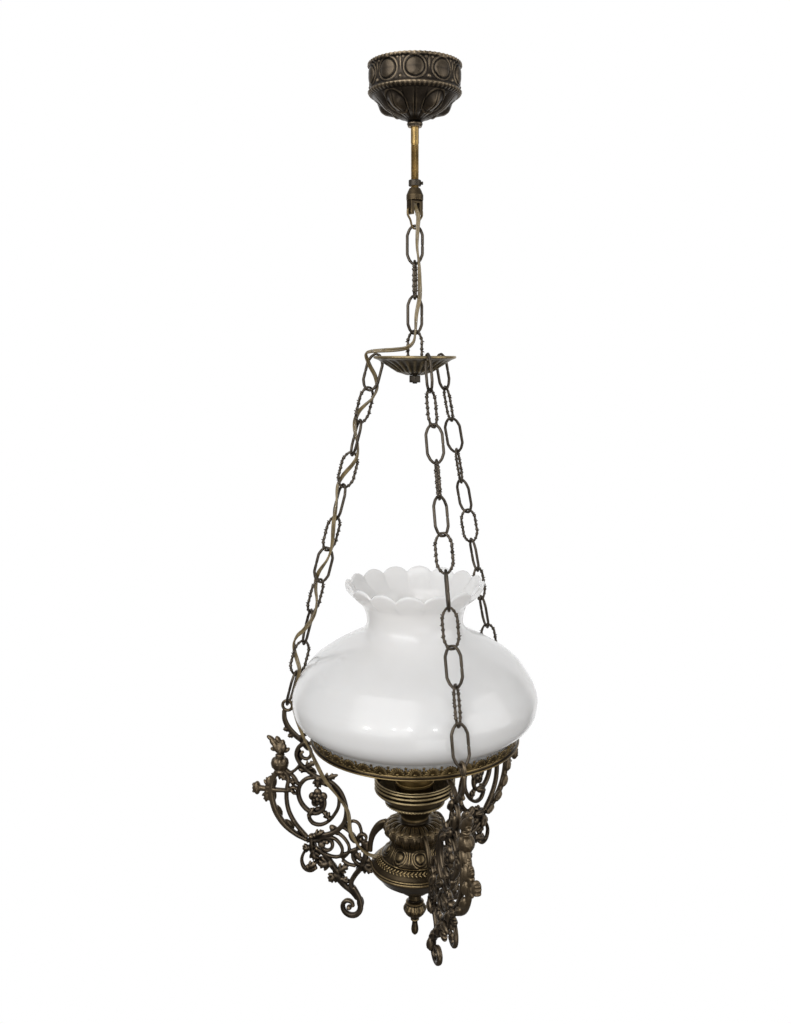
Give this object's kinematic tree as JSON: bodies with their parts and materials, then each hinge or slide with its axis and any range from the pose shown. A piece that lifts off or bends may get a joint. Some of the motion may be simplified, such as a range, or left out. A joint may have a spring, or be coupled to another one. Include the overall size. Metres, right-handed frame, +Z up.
{
  "type": "hanging kerosene lamp",
  "caption": "Hanging oil lamp wired for electric light: opal glass shade in a pierced gallery, scrollwork brackets, turned font, fluted chain spreader, chains and ceiling rose.",
  "frame": {"origin": "the middle of the ceiling bracket's top face, which is screwed to the ceiling", "axes": "+Z is up towards the ceiling, the lamp hangs down -Z, -Y points to the viewer"},
  "size_m": [0.297, 0.2988, 0.891],
  "materials": {
    "steel": "plain steel gone dull",
    "bright_brass": "bright drawn brass tube",
    "dark_bronze": "cast brass with a dark bronze patina, worn brighter on the high spots",
    "old_brass": "old brass, browned, with brighter worn edges",
    "opal_glass": "glossy white opal glass",
    "clear_glass": "pearl glass bulb",
    "flex_gold": "gold translucent sheath over two cores"
  },
  "bodies": {
    "ceiling": {"ceiling_bracket": "steel", "stem": "bright_brass", "collar": "steel", "yoke": "old_brass", "flex_upper": "flex_gold"},
    "rose": {"canopy": "dark_bronze"},
    "bail": {"bail": "old_brass"},
    "upper_link_2": {"upper_link_2": "old_brass"},
    "upper_link_3": {"upper_link_3": "old_brass"},
    "upper_link_4": {"upper_link_4": "old_brass"},
    "upper_link_5": {"upper_link_5": "old_brass"},
    "spreader": {"spreader": "old_brass", "eye_bolt": "steel", "eye_nut": "steel", "flex_middle": "flex_gold"},
    "lamp": {"gallery": "old_brass", "burner_cup": "old_brass", "lampholder": "bright_brass", "font": "old_brass", "font_cradle": "dark_bronze", "front_bracket": "dark_bronze", "left_bracket": "dark_bronze", "back_bracket": "dark_bronze", "finial": "old_brass"},
    "shade": {"shade": "opal_glass"},
    "bulb": {"bulb": "clear_glass"},
    "front_chain": {"front_link_01": "old_brass", "front_link_02": "old_brass", "front_link_03": "old_brass", "front_link_04": "old_brass", "front_link_05": "old_brass", "front_link_06": "old_brass", "front_link_07": "old_brass", "front_link_08": "old_brass", "front_link_09": "old_brass", "front_link_10": "old_brass", "front_link_11": "old_brass"},
    "left_chain": {"left_link_01": "old_brass", "left_link_02": "old_brass", "left_link_03": "old_brass", "left_link_04": "old_brass", "left_link_05": "old_brass", "left_link_06": "old_brass", "left_link_07": "old_brass", "left_link_08": "old_brass", "left_link_09": "old_brass", "left_link_10": "old_brass", "left_link_11": "old_brass", "flex_lower": "flex_gold"},
    "back_chain": {"back_link_01": "old_brass", "back_link_02": "old_brass", "back_link_03": "old_brass", "back_link_04": "old_brass", "back_link_05": "old_brass", "back_link_06": "old_brass", "back_link_07": "old_brass", "back_link_08": "old_brass", "back_link_09": "old_brass", "back_link_10": "old_brass", "back_link_11": "old_brass"}
  },
  "joints": [
    {"name": "rose_slide", "type": "slide", "parent": "ceiling", "child": "rose", "axis": [0, 0, -1], "range_m": [0, 0.05]},
    {"name": "bail_swing", "type": "hinge", "parent": "ceiling", "child": "bail", "pos_m": [0, 0, -0.14], "axis": [0.766, 0.6428, 0], "range_deg": [-12, 12], "deforming": ["flex_middle"]},
    {"name": "chain_swing_1", "type": "hinge", "parent": "bail", "child": "upper_link_2", "pos_m": [0, 0, -0.15855], "axis": [0.766, 0.6428, 0], "range_deg": [-12, 12], "deforming": ["flex_middle"]},
    {"name": "chain_swing_2", "type": "hinge", "parent": "upper_link_2", "child": "upper_link_3", "pos_m": [0, 0, -0.19312], "axis": [0.9659, -0.2588, 0], "range_deg": [-12, 12], "deforming": ["flex_middle"]},
    {"name": "chain_swing_3", "type": "hinge", "parent": "upper_link_3", "child": "upper_link_4", "pos_m": [0, 0, -0.2277], "axis": [0.1392, 0.9903, 0], "range_deg": [-12, 12], "deforming": ["flex_middle"]},
    {"name": "chain_swing_4", "type": "hinge", "parent": "upper_link_4", "child": "upper_link_5", "pos_m": [0, 0, -0.26227], "axis": [0.891, 0.454, 0], "range_deg": [-12, 12], "deforming": ["flex_middle"]},
    {"name": "chain_swing_5", "type": "hinge", "parent": "upper_link_5", "child": "spreader", "pos_m": [0, 0, -0.29684], "axis": [0.8829, -0.4695, 0], "range_deg": [-12, 12], "deforming": ["flex_middle"]},
    {"name": "lamp_twist", "type": "hinge", "parent": "spreader", "child": "lamp", "pos_m": [0, 0, -0.28599], "axis": [0, 0, 1], "range_deg": [-15, 15], "stiffness_Nm_per_rad": 0.45, "deforming": ["flex_lower"]},
    {"name": "front_chain_turn", "type": "hinge", "parent": "spreader", "child": "front_chain", "pos_m": [0.01205, -0.03709, -0.28439], "axis": [0.0326, -0.1004, 0.9944], "range_deg": [-15.1, 15.1]},
    {"name": "left_chain_turn", "type": "hinge", "parent": "spreader", "child": "left_chain", "pos_m": [-0.03815, 0.00811, -0.28439], "axis": [-0.1033, 0.022, 0.9944], "range_deg": [-15.1, 15.1], "deforming": ["flex_lower"]},
    {"name": "back_chain_turn", "type": "hinge", "parent": "spreader", "child": "back_chain", "pos_m": [0.0261, 0.02898, -0.28439], "axis": [0.0707, 0.0785, 0.9944], "range_deg": [-15.1, 15.1]},
    {"name": "shade_turn", "type": "hinge", "parent": "lamp", "child": "shade", "pos_m": [0, 0, -0.67599], "axis": [0, 0, 1], "continuous": true},
    {"name": "bulb_turn", "type": "hinge", "parent": "lamp", "child": "bulb", "pos_m": [0, 0, -0.73799], "axis": [0, 0, 1], "range_deg": [0, 360]}
  ],
  "couplings": [
    {"joint": "front_chain_turn", "follows": "lamp_twist", "ratio": 1.0056},
    {"joint": "left_chain_turn", "follows": "lamp_twist", "ratio": 1.0056},
    {"joint": "back_chain_turn", "follows": "lamp_twist", "ratio": 1.0056}
  ]
}
